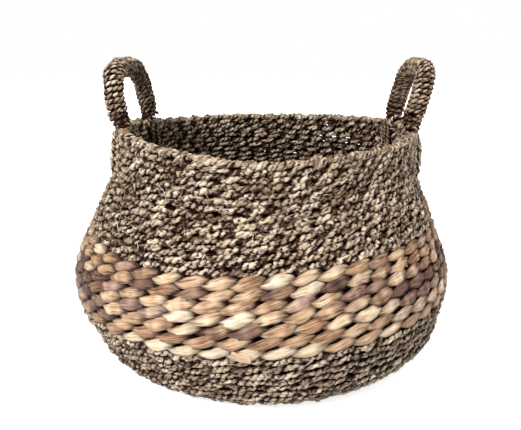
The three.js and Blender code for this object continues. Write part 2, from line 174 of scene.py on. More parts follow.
def strand_mesh(name, runs, corners, twist):
    """One mesh of many strands, ring after ring, in the order of the runs."""
    flat = bpy.data.curves.new(name + "_section", "CURVE")
    add_spline(flat, np.insert(corners, 2, 0, axis=1), True)
    section = placed(name + "_section", flat)
    data = bpy.data.curves.new(name, "CURVE")
    data.dimensions = "3D"
    data.bevel_mode = "OBJECT"
    data.bevel_object = section
    data.twist_mode = twist
    for run in runs:
        rings = add_spline(data, run["points"], run["closed"])
        rings.foreach_set("tilt", run["tilt"])
        rings.foreach_set("radius", run["radius"])
    curve = placed(name, data)
    graph = bpy.context.evaluated_depsgraph_get()
    mesh = bpy.data.meshes.new_from_object(curve.evaluated_get(graph))
    mesh.name = name
    for extra in (curve, section):
        bpy.data.objects.remove(extra)
    mesh.uv_layers.remove(mesh.uv_layers[0])
    return mesh


def run_of(points, normal, deep, rng, tone, hue, closed=False, radius=1, tilt=0, **more):
    """One strand: its rings, which way the wall faces there, and the numbers for the material."""
    ones = np.ones(len(points))
    return {
        "points": points, "normal": np.broadcast_to(normal, points.shape), "deep": deep * ones,
        "tone": tone * ones, "hue": hue * ones, "closed": closed, "radius": radius * ones,
        "tilt": tilt * ones, "shift": rng.uniform(0, LAY_SHIFT), **more,
    }


# %% [markdown]
# In twining, two strands swap places between one stake and the next: one passes outside a
# stake while the other passes inside it. Seen along the course, each strand is a long spiral.
# Its sideways swing is the cosine of a turn that grows by half a revolution for every stake,
# and its rise and fall is the sine, which gives each visible bead its lean.

# %% The path of one twined strand
STAKE_COLUMNS = 48
FIRST_STAKE = pi / STAKE_COLUMNS
PLUMP = 0.0008
JITTER = 0.0004
DRIFT = 0.0055
COURSE_SLIP = 0.35


def polar(r, angle, z):
    return np.stack([r * np.cos(angle), r * np.sin(angle), z], 1)


def fuller(swing, power):
    """A swing from -1 to 1 that stays near its ends for longer, or for less long above power 1."""
    return np.sign(swing) * np.abs(swing) ** power


def wander(angle, rng, size, waves=(1, 2, 3, 5, 8)):
    """A smooth drift round the basket that closes on itself."""
    total = np.zeros_like(angle)
    for wave in waves:
        total += rng.normal() * np.cos(wave * angle + rng.uniform(0, FULL_TURN))
    return size * total / len(waves) ** 0.5


def drift(angle, z):
    """Made by hand, the courses slope a little: low on the front left, high on the front right."""
    return DRIFT * np.sin(2 * angle + pi) * np.sin(pi * np.clip(z / WALL_TOP, 0, 1))


def course_slips(seed, courses):
    """How far the beads of each course stand aside of the stakes."""
    return default_rng(seed).uniform(-COURSE_SLIP, COURSE_SLIP, courses)


def per_step(steps, rng, low, high):
    """One random number for each whole step, the same all along it."""
    whole = np.floor(steps).astype(int)
    return rng.uniform(low, high, whole.max() - whole.min() + 1)[whole - whole.min()]


def unit(vectors):
    return vectors / np.linalg.norm(vectors, axis=1, keepdims=True)


def turned(turn, first, second):
    """The first direction, turned towards the second."""
    return np.cos(turn)[:, None] * first + np.sin(turn)[:, None] * second


def way_along(points):
    return np.concatenate([[0], np.cumsum(np.linalg.norm(np.diff(points, axis=0), axis=1))])


def twined_strand(height, strand, count, swing, rise, rng, fullness=0.45, lead=0.25, slip=0, early=0):
    """Points, turn, outward direction and depth from the middle of the wall."""
    angle = even_turn(count)
    turn = STAKE_COLUMNS / 2 * (angle - FIRST_STAKE) + (strand + slip) * pi
    z = height + drift(angle, height) + wander(angle, rng, JITTER / 2)
    outside, slope = outline(z)
    steep = np.sqrt(1 + slope ** 2)
    side = np.cos(turn + early) + lead
    side = side / np.where(side > 0, 1 + lead, 1 - lead)
    deep = swing * fuller(side, fullness) + wander(angle, rng, JITTER / 2, (7, 11, 19, 31))
    up = rise * np.sin(turn) + wander(angle, rng, JITTER, (17, 29, 41, 67, 89))
    out = deep - WALL_THICKNESS / 2 + PLUMP
    r = outside + (out + up * slope) / steep
    z = z + (up - out * slope) / steep
    return by_hand(polar(r, angle, z)), turn, polar(1, angle, -slope) / steep[:, None], deep


spacing = FULL_TURN * outline(BELLY_HEIGHT)[0] / STAKE_COLUMNS
print("stakes at the belly stand", spacing.round(4), "m apart")

# %% [markdown]
# Seagrass is spun into two plies that wind round each other. Each ply is a tube of its own, so
# that the deep crease between two plies is real and each turn shows as a separate grain.

# %% Two plies of one cord
RINGS_PER_TWIST = 9
WIND_DRIFT, REACH_DRIFT, SWELL_DRIFT = 0.45, 0.16, 0.07
GRAIN, GRAIN_SWELL, GRAIN_TONE = 0.16, 0.8, 0.13


def plied(points, normal, deep, twists, ply_offset, rng, tone, hue, closed=False, uneven=1.0, plies=2):
    u = np.arange(len(points)) / len(points)
    round_trip = FULL_TURN * u
    ahead = np.roll(points, -1, 0) - np.roll(points, 1, 0)
    if not closed:
        ahead = np.gradient(points, axis=0)
    tangent = unit(ahead)
    out = unit(normal - (normal * tangent).sum(1)[:, None] * tangent)
    up = np.cross(out, tangent)
    runs = []
    for ply in range(plies):
        wind = FULL_TURN * (twists * u + ply / plies)
        wind = wind + uneven * wander(round_trip, rng, WIND_DRIFT, (23, 41, 67, 90))
        reach = ply_offset * (1 + uneven * wander(round_trip, rng, REACH_DRIFT, (37, 59, 101, 143)))
        aside = reach[:, None] * turned(wind, out, up)
        grains = wind / FULL_TURN + 0.5
        grain = GRAIN_SWELL * per_step(grains, rng, -GRAIN, GRAIN)
        swell = 1 + uneven * (grain + wander(round_trip, rng, SWELL_DRIFT, (29, 61, 113)))
        runs.append(run_of(
            points + aside, normal, deep + (aside * normal).sum(1), rng,
            tone + per_step(grains, rng, -GRAIN_TONE, GRAIN_TONE), hue,
            closed=closed, radius=swell, core=points, reach=reach,
        ))
    return runs


# %% [markdown]
# ## Materials
# Both fibres are dried stalks, so one node group serves both. It stretches a noise along the
# strand into fine fibres, adds patches and the tone of each grain, and gives how much painted
# shade falls on what lies deep in the weave. Each material then chooses its own colours.

# %% The fibre node group
FINE_DETAIL, PATCH_DETAIL = 3, 2
NOISE_MIDDLE = 0.5
LINE_FROM, LINE_TO = 0.36, 0.44
OPEN_FROM, OPEN_TO = 0.38, 0.92


def set_inputs(tree, node, inputs):
    """Each input gets a value of its own, or a link where another node's socket is given."""
    for key, value in inputs.items():
        if isinstance(value, bpy.types.NodeSocket):
            tree.links.new(value, node.inputs[key])
        else:
            node.inputs[key].default_value = value
    return node


def add_node(tree, kind, inputs):
    return set_inputs(tree, tree.nodes.new("ShaderNode" + kind), inputs)


def math_node(tree, operation, *values):
    node = tree.nodes.new("ShaderNodeMath")
    node.operation = operation
    return set_inputs(tree, node, dict(enumerate(values))).outputs[0]


def attribute(tree, name):
    node = tree.nodes.new("ShaderNodeAttribute")
    node.attribute_name = name
    return node.outputs


def ranged(tree, source, low, high, kind):
    node = add_node(tree, "MapRange", {"Value": source, "From Min": low, "From Max": high})
    node.interpolation_type = kind
    return node.outputs["Result"]


def fibre_group():
    group = bpy.data.node_groups.new("dried fibre", "ShaderNodeTree")
    for name in ("Fibres", "Patches", "Contrast", "Lines"):
        group.interface.new_socket(name, in_out="INPUT", socket_type="NodeSocketFloat")
    for name in ("Tone", "Height", "Open"):
        group.interface.new_socket(name, in_out="OUTPUT", socket_type="NodeSocketFloat")
    given = group.nodes.new("NodeGroupInput").outputs

    def noise(vector, scale, detail):
        node = add_node(group, "TexNoise", {"Vector": vector, "Scale": scale, "Detail": detail})
        return node.outputs["Fac"]

    def with_noise(tone, source):
        """The tone, lighter or darker by what the noise is over or under its middle."""
        centred = math_node(group, "SUBTRACT", source, NOISE_MIDDLE)
        return math_node(group, "MULTIPLY_ADD", centred, given["Contrast"], tone)

    place = group.nodes.new("ShaderNodeTexCoord").outputs["Object"]
    fine = noise(attribute(group, "lay")["Vector"], given["Fibres"], FINE_DETAIL)
    patch = noise(place, given["Patches"], PATCH_DETAIL)
    tone = with_noise(with_noise(attribute(group, "tone")["Fac"], patch), fine)
    lines = math_node(group, "SUBTRACT", ranged(group, fine, LINE_FROM, LINE_TO, "LINEAR"), 1)
    lines = math_node(group, "MULTIPLY", lines, given["Lines"])
    # Painted shade: the deeper a point lies in the weave, the lower the Open share and the darker its
    # colour.
    depth = attribute(group, "depth")["Fac"]
    set_inputs(group, group.nodes.new("NodeGroupOutput"), {
        "Tone": math_node(group, "ADD", tone, lines),
        "Height": fine,
        "Open": ranged(group, depth, OPEN_FROM, OPEN_TO, "SMOOTHSTEP"),
    })
    return group


FIBRE = fibre_group()
print("fibre group gives", [s.name for s in FIBRE.interface.items_tree if s.in_out == "OUTPUT"])

# %% Materials of the two fibres
# Painted shade: the dark colour laid on what lies deep in the weave and in the creases between plies.
GAP_SHADE_COLOUR = "260E05"
SPECULAR = 0.15
BUMP_DISTANCE = 0.0006


def colour(hex_code):
    """A colour written as in a paint list, turned into the linear numbers that nodes take."""
    parts = [int(hex_code[i : i + 2], 16) / 255 for i in (0, 2, 4)]
    return [c / 12.92 if c < 0.04045 else ((c + 0.055) / 1.055) ** 2.4 for c in parts] + [1]


def ramp(tree, source, stops):
    node = add_node(tree, "ValToRGB", {"Fac": source})
    elements = node.color_ramp.elements
    while len(elements) < len(stops):
        elements.new(0.5)
    for element, (place, shade) in zip(elements, stops):
        element.position = place
        element.color = shade
    return node.outputs["Color"]


def mixed(tree, factor, first, second):
    node = tree.nodes.new("ShaderNodeMix")
    node.data_type = "RGBA"
    return set_inputs(tree, node, {"Factor": factor, "A": first, "B": second}).outputs["Result"]


def fibre_material(name, stops, other_stops, roughness, bump, look):
    material = bpy.data.materials.new(name)
    material.use_nodes = True
    tree = material.node_tree
    fibre = tree.nodes.new("ShaderNodeGroup")
    fibre.node_tree = FIBRE
    made = set_inputs(tree, fibre, look).outputs
    first, second = (ramp(tree, made["Tone"], [(place, colour(code)) for place, code in some])
                     for some in (stops, other_stops))
    both = mixed(tree, attribute(tree, "hue")["Fac"], first, second)
    relief = add_node(tree, "Bump", {"Strength": bump, "Distance": BUMP_DISTANCE, "Height": made["Height"]})
    set_inputs(tree, tree.nodes["Principled BSDF"], {
        "Roughness": roughness,
        "Specular IOR Level": SPECULAR,
        # Painted shade: the base colour turns to the shade colour where the weave is deep.
        "Base Color": mixed(tree, made["Open"], colour(GAP_SHADE_COLOUR), both),
        "Normal": relief.outputs["Normal"],
    })
    return material


SEAGRASS = fibre_material(
    "seagrass cord",
    [(0, "42301F"), (0.3, "8C7560"), (0.55, "C7B49D"), (0.8, "E5D8C5"), (1, "F7EEE1")],
    [(0, "403322"), (0.3, "86745B"), (0.55, "BEAD93"), (0.8, "DED0BA"), (1, "F2E8D7")],
    roughness=0.5, bump=1.0, look={"Fibres": 1.7, "Patches": 30, "Contrast": 0.5, "Lines": 0.3},
)
HYACINTH = fibre_material(
    "water hyacinth stalk",
    [(0, "523627"), (0.25, "967053"), (0.5, "C09E7D"), (0.75, "DAC2A3"), (1, "EBDCC5")],
    [(0, "241713"), (0.3, "513B33"), (0.6, "856558"), (1, "BA9A8B")],
    roughness=0.4, bump=0.8, look={"Fibres": 6, "Patches": 90, "Contrast": 0.5, "Lines": 0.28},
)
STAKE = fibre_material(
    "stake cord",
    [(0, "3A2E22"), (0.5, "6B5A45"), (1, "937F63")], [(0, "3A2E22"), (1, "7A6A4C")],
    roughness=0.8, bump=0.5, look={"Fibres": 5, "Patches": 30, "Contrast": 0.35, "Lines": 0.3},
)
print("materials", [m.name for m in (SEAGRASS, HYACINTH, STAKE)])

# %% [markdown]
# A finished strand mesh gets its numbers for the material and becomes a piece. The section
# place is kept as a cosine and a sine, so that the fibres have no seam where the section
# closes.

# %% Turn strand meshes into pieces
FIBRE_STRETCH = 100
# Painted shade in the creases between plies: the least share, and where it fades out.
CREASE_SHADE, CREASE_FROM, CREASE_TO = 0.34, 0.62, 0.97
MERGE_DISTANCE = 1e-7


def per_corner(runs, key, count):
    """What every ring has under this key, given to each corner of the ring."""
    return np.repeat(np.concatenate([run[key] for run in runs]), count, 0)


def close_ends(mesh):
    """Open strands end in rings of no size, which become one point each."""
    shape = bmesh.new()
    shape.from_mesh(mesh)
    bmesh.ops.remove_doubles(shape, verts=shape.verts, dist=MERGE_DISTANCE)
    shape.to_mesh(mesh)
    shape.free()


def add_numbers(mesh, name, kind, values):
    field = "vector" if kind == "FLOAT_VECTOR" else "value"
    mesh.attributes.new(name, kind, "POINT").data.foreach_set(field, np.ravel(values))


def crest_share(co, runs, count, thickness):
    """Less than one in the creases between the plies of a cord, and one on their crests. It paints shade
    into the creases.
    """
    if "core" not in runs[0]:
        return 1
    crest = per_corner(runs, "reach", count) + per_corner(runs, "radius", count) * thickness / 2
    share = np.linalg.norm(co - per_corner(runs, "core", count), axis=1) / crest
    share = np.clip((share - CREASE_FROM) / (CREASE_TO - CREASE_FROM), 0, 1)
    return CREASE_SHADE + (1 - CREASE_SHADE) * share


def strand_piece(name, runs, corners, material, half=WALL_THICKNESS / 2, body="root",
                 replaced=(), twist="Z_UP", shape=None, stretch=FIBRE_STRETCH, open_to_light=0):
    mesh = strand_mesh(name, runs, corners, twist)
    count = len(corners)
    rows = sum(len(run["points"]) for run in runs)
    if len(mesh.vertices) != rows * count:
        raise ValueError(name + " has lost some of its rings")
    co = np.zeros(3 * rows * count)
    mesh.vertices.foreach_get("co", co)
    co = co.reshape(-1, 3)
    if shape:
        co = shape(co, runs, count)
        mesh.vertices.foreach_set("co", co.ravel())
    ring = even_turn(count)
    along = np.concatenate([way_along(run["points"]) * stretch + run["shift"] for run in runs])
    lay = [np.tile(np.cos(ring), rows), np.tile(np.sin(ring), rows), np.repeat(along, count)]
    add_numbers(mesh, "lay", "FLOAT_VECTOR", np.stack(lay, 1))
    # How deep each point lies from the middle of the wall, which sets its painted shade.
    away = (co - per_corner(runs, "points", count)) * per_corner(runs, "normal", count)
    depth = np.abs(per_corner(runs, "deep", count) + away.sum(1)) / half
    # Painted shade also darkens the creases between plies; a strand open to light gets less of it.
    depth = np.maximum(depth, open_to_light) * crest_share(co, runs, count, np.ptp(corners[:, 0]))
    add_numbers(mesh, "depth", "FLOAT", depth)
    for key in ("tone", "hue"):
        add_numbers(mesh, key, "FLOAT", per_corner(runs, key, count))
    mesh.polygons.foreach_set("use_smooth", np.ones(len(mesh.polygons), bool))
    if not all(run["closed"] for run in runs):
        close_ends(mesh)
    mesh.materials.append(material)
    piece = placed(name, mesh)
    if replaced:
        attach(piece, body)
        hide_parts(*replaced)
    print(name, "has", 2 * len(mesh.polygons), "triangles")
    return piece


# %% Seagrass courses
PLY, PLY_OFFSET, PLY_PITCH, PLY_CORNERS = 0.0036, 0.00084, 0.0094, 7
CRUMPLE, LEAST_CRUMPLE, MOST_CRUMPLE = 0.17, 0.6, 1.4
SEAGRASS_SWING, SEAGRASS_RISE, SEAGRASS_UNEVEN = 0.0027, 0.0013, 1.7
SEAGRASS_TONE, SEAGRASS_SPREAD = 0.46, 0.06
SEAGRASS_HUES, MOST_HUE = (-0.2, 0.9), 0.7
HUE_TURN = 6 * pi


def crumpled(co, runs, count):
    """Each corner of each ring stands out a little more or less, as in a crushed leaf."""
    rng = default_rng(17)
    middle = per_corner(runs, "points", count)
    return middle + (co - middle) * rng.normal(1, CRUMPLE, (len(co), 1)).clip(LEAST_CRUMPLE, MOST_CRUMPLE)


def twists_round(height, pitch):
    """Whole twists of a cord in one course at this height."""
    return round(FULL_TURN * (outline(height)[0] - WALL_THICKNESS / 2) / pitch)


def seagrass_courses(name, heights, seed, band):
    for strand, letter in enumerate("ab"):
        rng = default_rng(seed + strand)
        runs = []
        for height, slip in zip(heights, course_slips(seed, len(heights))):
            twists = twists_round(height, PLY_PITCH)
            points, turn, normal, deep = twined_strand(
                height, strand, twists * RINGS_PER_TWIST, SEAGRASS_SWING, SEAGRASS_RISE, rng, slip=slip)
            tone = SEAGRASS_TONE + per_step(turn / pi + 0.5, rng, -SEAGRASS_SPREAD, SEAGRASS_SPREAD)
            hue = per_step(turn / HUE_TURN, rng, *SEAGRASS_HUES).clip(0, MOST_HUE)
            runs += plied(points, normal, deep, twists, PLY_OFFSET, rng, tone, hue,
                          closed=True, uneven=SEAGRASS_UNEVEN)
        strand_piece(f"{name}_strand_{letter}", runs, circle(PLY, PLY_CORNERS), SEAGRASS,
                     replaced=(f"{band}_weft_outer", f"{band}_weft_inner"), shape=crumpled)


upper = course_heights(*UPPER_BAND, UPPER_COURSES)
lower = course_heights(*LOWER_BAND, LOWER_COURSES)
seagrass_courses("shoulder_weft", upper[:5], 11, "upper")
seagrass_courses("neck_weft", upper[5:10], 13, "upper")
seagrass_courses("top_weft", upper[10:], 15, "upper")
seagrass_courses("foot_weft", lower[:5], 23, "lower")
seagrass_courses("low_weft", lower[5:], 25, "lower")

# %% [markdown]
# The hyacinth stalks are soft and wide. Where a stalk lies over a stake it spreads to its full
# width, and where it dives between two stakes it is squeezed narrow and thick. Each stalk is
# folded along its length when it dries, so the rings get creases that drift along it.

# %% Hyacinth courses
STALK_WIDTH, STALK_THICKNESS = 0.0090, 0.0034
ACROSS_POWER, THROUGH_POWER = 0.9, 1.3
STALK_SWING, STALK_RISE, STALK_CALM = 0.0036, 0.0022, 0.7
STALK_FULLNESS, STALK_LEAD, STALK_EARLY = 0.6, 0.58, 0.22
# Painted light on the stalks: lighter all round, and darker in painted shade towards the sides.
STALK_TONE, STALK_GLOW, STALK_SHADE = 0.5, 0.1, 0.13
STALK_BLUSH, STALK_PALE = 1.4, 0.4
STALK_TONES, BEAD_TONES = (-0.18, 0.24), (-0.14, 0.14)
STALK_HUES, BEAD_HUES = (-2.8, 1.15), (-0.2, 0.2)
STREAK_TONE, STREAK_HUE = 0.07, 0.2
BEADS_PER_STALK = 5
BEAD_PHASES = (-180, -145, -115, -85, -50, 0, 40, 75, 105, 145)
BEAD_WIDTHS = (0.85, 0.55, 0.42, 0.6, 0.86, 1.0, 1.0, 0.86, 0.66, 0.58)
WIDTH_SPREAD = (0.88, 1.1)
SQUEEZED_THICK, SPREAD_THIN = 1.3, 0.45
STALK_OPEN, STALK_STRETCH = 0.0061, 9
STALK_CORNERS, STALK_RINGS = 18, 560
CREASE = 0.0005


def stalk_section():
    angle = even_turn(STALK_CORNERS)
    through, across = fuller(np.cos(angle), THROUGH_POWER), fuller(np.sin(angle), ACROSS_POWER)
    return np.stack([STALK_THICKNESS / 2 * through, STALK_WIDTH / 2 * across], 1)


def pressed_stalks(co, runs, count):
    """Each ring keeps its width outside a stake and is squeezed where the strand dives."""
    rng = default_rng(5)
    start = 0
    for run in runs:
        rows = len(run["points"])
        part = slice(start, start + rows * count)
        middle, out = run["points"][:, None, :], run["normal"][:, None, :]
        away = co[part].reshape(rows, count, 3) - middle
        through = (away * out).sum(2)[:, :, None]
        across = away - through * out
        around = even_turn(rows)
        folds = np.stack([wander(around, rng, run["fold"], (20, 45, 75, 110)) for _ in range(count)], 1)
        through = through * run["thick"][:, None, None] + folds[:, :, None]
        across = across * run["wide"][:, None, None]
        co[part] = (middle + across + through * out).reshape(-1, 3)
        start += rows * count
    return co


heights = course_heights(*HYACINTH_BAND, HYACINTH_COURSES)
around = even_turn(STALK_RINGS)
side = np.cos(around) ** 2
rise = STALK_RISE * (1 - STALK_CALM * np.clip(np.cos(around), 0, 1))
for strand, letter in enumerate("ab"):
    rng = default_rng(41 + strand)
    row_rng = default_rng(21)
    runs = []
    for row, (height, slip) in enumerate(zip(heights, course_slips(8, len(heights)))):
        blush = STALK_BLUSH * side * sin(pi * row / (len(heights) - 1)) - STALK_PALE
        points, turn, normal, deep = twined_strand(
            height, strand, STALK_RINGS, STALK_SWING, rise, rng,
            fullness=STALK_FULLNESS, lead=STALK_LEAD, slip=slip, early=STALK_EARLY)
        bead = turn / pi + 0.5
        wide = np.interp(np.degrees(turn), BEAD_PHASES, BEAD_WIDTHS, period=360)
        stalk = np.floor(bead) / BEADS_PER_STALK + row_rng.uniform()
        tone = STALK_TONE + per_step(stalk, row_rng, *STALK_TONES) + per_step(bead, rng, *BEAD_TONES)
        # Painted light: all stalks are made a little lighter, and painted shade darkens them towards the
        # left and right of the basket.
        tone = tone + STALK_GLOW - STALK_SHADE * side
        tone = tone + wander(around, rng, STREAK_TONE, (40, 70, 110, 160))
        hue = per_step(2 * stalk, row_rng, *STALK_HUES) + per_step(bead, rng, *BEAD_HUES) + blush
        hue = hue + wander(around, rng, STREAK_HUE, (35, 60, 95, 140))
        runs.append(run_of(
            points, normal, deep, rng, tone, hue.clip(0, 1), closed=True,
            tilt=np.arctan(outline(points[:, 2])[1]), wide=wide * per_step(bead, rng, *WIDTH_SPREAD),
            thick=SQUEEZED_THICK - SPREAD_THIN * wide, fold=CREASE,
        ))
    strand_piece(f"hyacinth_strand_{letter}", runs, stalk_section(), HYACINTH,
                 replaced=("hyacinth_weft_outer", "hyacinth_weft_inner"), half=STALK_OPEN,
                 shape=pressed_stalks, stretch=STALK_STRETCH)

# %% [markdown]
# One stalk ran out at the lower edge of the band in front. Its flat cut end lies over the
# seagrass there.

# %% Loose end of a stalk
LOOSE_FROM, LOOSE_TO = radians(-96.8), radians(-91.9)
LOOSE_HIGH, LOOSE_LOW = 0.0564, 0.0548
LOOSE_WIDTH, LOOSE_THICKNESS, LOOSE_LIFT = 0.7, 0.4, 0.0022
LOOSE_TONE, LOOSE_HUE = 0.55, 0.1
LOOSE_RINGS = 24

share = np.linspace(0, 1, LOOSE_RINGS)
angle = LOOSE_FROM + (LOOSE_TO - LOOSE_FROM) * share
z = LOOSE_HIGH + (LOOSE_LOW - LOOSE_HIGH) * share + drift(angle, LOOSE_HIGH)
outside, slope = outline(z)
r = outside + LOOSE_LIFT * np.clip(4 * share - 1, -2, 1)
size = np.ones(LOOSE_RINGS)
size[[0, -1]] = 0
run = run_of(by_hand(polar(r, angle, z)), unit(polar(1, angle, -slope)), WALL_THICKNESS / 2,
             default_rng(53), LOOSE_TONE, LOOSE_HUE, radius=size, tilt=np.arctan(slope),
             wide=np.full(LOOSE_RINGS, LOOSE_WIDTH), thick=np.full(LOOSE_RINGS, LOOSE_THICKNESS), fold=0)
strand_piece("loose_stalk_end", [run], stalk_section(), HYACINTH,
             replaced=("hyacinth_weft_outer",), shape=pressed_stalks, stretch=STALK_STRETCH)

# %% [markdown]
# Seagrass cord is hairy: here and there a fibre has come out of the twist and stands off.

# %% Stray fibres
STRAY_COUNT = 300
STRAY_WIDTH = 0.0004
STRAY_BANDS = ((0.006, 0.050), (0.108, 0.168), (0.108, 0.168))
STRAY_LENGTHS, STRAY_LIFTS = (0.006, 0.013), (0.0008, 0.0026)
STRAY_LEAN, STRAY_CURL, STRAY_BEND = 0.5, 0.5, 1.4
STRAY_SIZES = np.array([0, 1, 1, 1, 0.8, 0])
STRAY_RADIUS, STRAY_SUNK = 0.15, 0.0008
STRAY_TONES, STRAY_HUE = (0.5, 1.0), 0.3

rng = default_rng(57)
share = np.linspace(0, 1, len(STRAY_SIZES))
runs = []
for index in range(STRAY_COUNT):
    low, high = STRAY_BANDS[index % len(STRAY_BANDS)]
    length = rng.uniform(*STRAY_LENGTHS)
    heading = rng.normal(STRAY_LEAN, STRAY_LEAN) + rng.normal(0, STRAY_CURL) * share
    angle = rng.uniform(0, FULL_TURN) + length * share * np.cos(heading) / STRAY_RADIUS
    z = rng.uniform(low, high) + length * share * np.sin(heading)
    outside, slope = outline(z)
    r = outside - STRAY_SUNK + rng.uniform(*STRAY_LIFTS) * share ** STRAY_BEND
    runs.append(run_of(
        by_hand(polar(r, angle, z)), unit(polar(1, angle, -slope)), WALL_THICKNESS / 2, rng,
        rng.uniform(*STRAY_TONES), STRAY_HUE, radius=STRAY_SIZES))
strand_piece("stray_fibres", runs, circle(STRAY_WIDTH, 3), SEAGRASS,
             replaced=("upper_weft_outer",), twist="MINIMUM")

# %% [markdown]
# ## Stakes and base
# Each stake is one long rod: up one side, across the base and up the other side. Twelve run
# from left to right and twelve from front to back. They are plaited through each other in the
# middle of the base and then fan out to their columns.

# %% Stakes
STAKES_PER_SET = 12
STAKE_THICKNESS = 0.0037
STAKE_PITCH = 0.004
STAKE_LEVEL, STAKE_TOP = 0.0048, 0.1762
PLAIT_LIFT = 0.0016
STAKE_SWELLS = (0.008, 0.020)
STAKE_WALL_SHARE = 1.4
STAKE_DEEP = 0.004
STAKE_TONE, STAKE_SPREAD = 0.5, 0.2
FAN_STEPS, WALL_STEPS = 14, 40


def stake_points(index, over):
    place = index - (STAKES_PER_SET - 1) / 2
    column = place * FULL_TURN / STAKE_COLUMNS
    half_cross = STAKE_PITCH * STAKES_PER_SET / 2
    flat = np.arange(0, half_cross + STAKE_PITCH, STAKE_PITCH / 2)
    cross = flat / STAKE_PITCH - 0.5 + index + (1 if over else 0)
    plait = PLAIT_LIFT * np.cos(pi * cross) * np.clip((half_cross - flat) / STAKE_PITCH + 1, 0, 1)
    middle = np.stack([flat, np.full_like(flat, place * STAKE_PITCH), STAKE_LEVEL + plait], 1)
    z = np.linspace(STAKE_LEVEL, STAKE_TOP, WALL_STEPS)
    outside, slope = outline(z)
    r = outside - WALL_THICKNESS / 2 * np.sqrt(1 + slope ** 2)
    wall = np.stack([r * cos(column), r * sin(column), z], 1)
    fan = middle[-1] + (wall[0] - middle[-1]) * np.linspace(0, 1, FAN_STEPS)[1:-1, None]
    half = np.concatenate([middle, fan, wall])
    mirrored = half[:0:-1] * [-1, 1, 1]
    back = 2 * STAKE_LEVEL - mirrored[:, 2]
    mirrored[:, 2] = np.where(mirrored[:, 0] > -half_cross - STAKE_PITCH, back, mirrored[:, 2])
    path = np.concatenate([mirrored, half])
    if over:
        path = path[:, [1, 0, 2]] * [-1, 1, 1]
    return by_hand(path)


rng = default_rng(3)
runs = []
for index in range(2 * STAKES_PER_SET):
    points = stake_points(index % STAKES_PER_SET, index >= STAKES_PER_SET)
    size = np.interp(points[:, 2], STAKE_SWELLS, (1, STAKE_WALL_SHARE))
    size[[0, -1]] = 0
    tone = STAKE_TONE + rng.uniform(-STAKE_SPREAD, STAKE_SPREAD)
    runs.append(run_of(points, UP, STAKE_DEEP, rng, tone, rng.uniform(0, 1), radius=size))
nodes = [f"stake_{index + 1:02d}" for index in range(2 * STAKES_PER_SET)]
strand_piece("stakes", runs, circle(STAKE_THICKNESS), STAKE, replaced=nodes, twist="MINIMUM")

# %% [markdown]
# The base is twined round the same stakes as the wall, in rings from the plaited middle out to
# the foot. Near the middle the stakes lie so close that the weaver takes four at a time, then
# two, and only the outer rings go round each stake.

# %% Base courses
BASE_LEVEL = 0.00485
BASE_SWING, BASE_LEAN, BASE_FULLNESS = 0.0021, 0.0015, 0.8
BASE_PLY, BASE_PLY_OFFSET, BASE_TWIST, BASE_CORNERS = 0.0026, 0.0013, 0.0115, 5
BASE_FIRST, BASE_LAST, BASE_PITCH = 0.030, 0.1345, 0.0061
FOURS_UP_TO, TWOS_UP_TO = 0.045, 0.085
BASE_TONE, BASE_SPREAD = 0.45, 0.15
BASE_HUES = (-0.6, 0.9)

for strand, letter in enumerate("ab"):
    rng = default_rng(61 + strand)
    runs = []
    for radius in np.arange(BASE_FIRST, BASE_LAST, BASE_PITCH):
        columns = STAKE_COLUMNS // (4 if radius < FOURS_UP_TO else 2 if radius < TWOS_UP_TO else 1)
        twists = round(FULL_TURN * radius / BASE_TWIST)
        angle = even_turn(twists * RINGS_PER_TWIST)
        turn = columns / 2 * (angle - pi / columns) + strand * pi
        deep = BASE_SWING * fuller(np.cos(turn), BASE_FULLNESS)
        r = radius + BASE_LEAN * np.sin(turn) + wander(angle, rng, JITTER)
        points = polar(r, angle, BASE_LEVEL + deep)
        tone = BASE_TONE + per_step(turn / pi + 0.5, rng, -BASE_SPREAD, BASE_SPREAD)
        hue = per_step(turn / HUE_TURN, rng, *BASE_HUES).clip(0, 1)
        runs += plied(points, UP, deep, twists, BASE_PLY_OFFSET, rng, tone, hue, closed=True)
    strand_piece(f"base_strand_{letter}", runs, circle(BASE_PLY, BASE_CORNERS), SEAGRASS,
                 half=BASE_LEVEL, replaced=("base_under_weft", "base_inner_weft"))

# %% [markdown]
# The rim is one last course of tightly twisted cord that locks the ends of the stakes. It lies
# open to the light, so little painted shade is laid on it.

# %% Rim course
RIM_MIDDLE, RIM_SWING, RIM_RISE, RIM_UNEVEN = 0.1788, 0.0027, 0.0012, 2.2
RIM_PLY, RIM_PLY_OFFSET, RIM_PITCH = 0.0031, 0.0010, 0.0066
RIM_TONE, RIM_SPREAD, RIM_HUE = 0.42, 0.1, 0.2
# The rim gets less painted shade than the wall.
RIM_OPEN = 0.85

rng = default_rng(71)
twists = twists_round(RIM_MIDDLE, RIM_PITCH)
runs = []
for strand in (0, 1):
    points, turn, normal, deep = twined_strand(
        RIM_MIDDLE, strand, twists * RINGS_PER_TWIST, RIM_SWING, RIM_RISE, rng)
    tone = RIM_TONE + per_step(turn / pi + 0.5, rng, -RIM_SPREAD, RIM_SPREAD)
    runs += plied(points, normal, deep, twists, RIM_PLY_OFFSET, rng, tone, RIM_HUE,
                  closed=True, uneven=RIM_UNEVEN)
strand_piece("rim_course", runs, circle(RIM_PLY, PLY_CORNERS), SEAGRASS,
             replaced=("rim_border",), shape=crumpled, open_to_light=RIM_OPEN)

# %% [markdown]
# ## Handles
# A handle is a bent rope with a two-ply cord wound tightly round it. It leans outwards a few
# degrees and can be pushed over by hand, so in the frame it is a body that turns about the
# line through its two feet. The joint gives that line, and everything here is placed from it.

